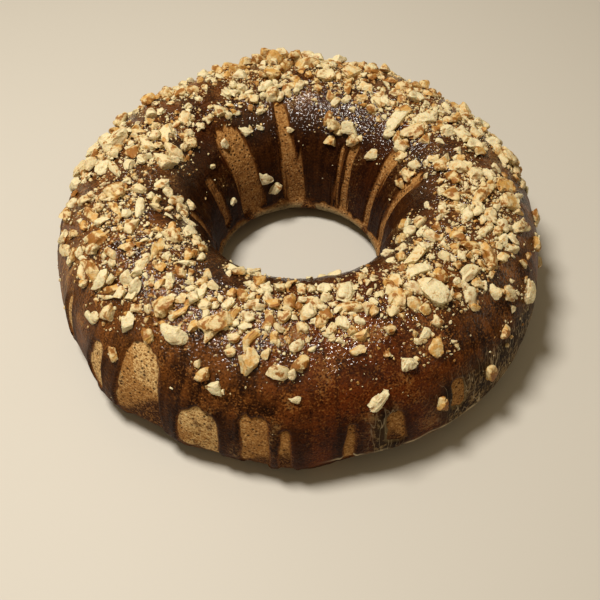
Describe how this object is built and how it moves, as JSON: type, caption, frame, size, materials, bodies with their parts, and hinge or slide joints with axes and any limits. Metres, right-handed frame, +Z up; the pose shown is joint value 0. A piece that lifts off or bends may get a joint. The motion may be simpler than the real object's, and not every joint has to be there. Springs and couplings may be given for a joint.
{
  "type": "glazed ring cake",
  "caption": "Ring cake on a flat base with a round central hole, chocolate glaze run down in streaks over bare sponge, and chopped walnuts over its rounded top.",
  "frame": {"origin": "on the axis of the hole, at the level of the flat base the cake stands on", "axes": "+Z up along the axis of the hole, -Y towards the front of the cake"},
  "size_m": [0.2453, 0.2469, 0.0731],
  "materials": {
    "glaze": "glossy poured chocolate glaze, thin and streaked",
    "sponge": "matt baked sponge crust",
    "walnut": "matt cut walnut"
  },
  "bodies": {
    "root": {"ring_cake": "glaze"}
  },
  "joints": []
}
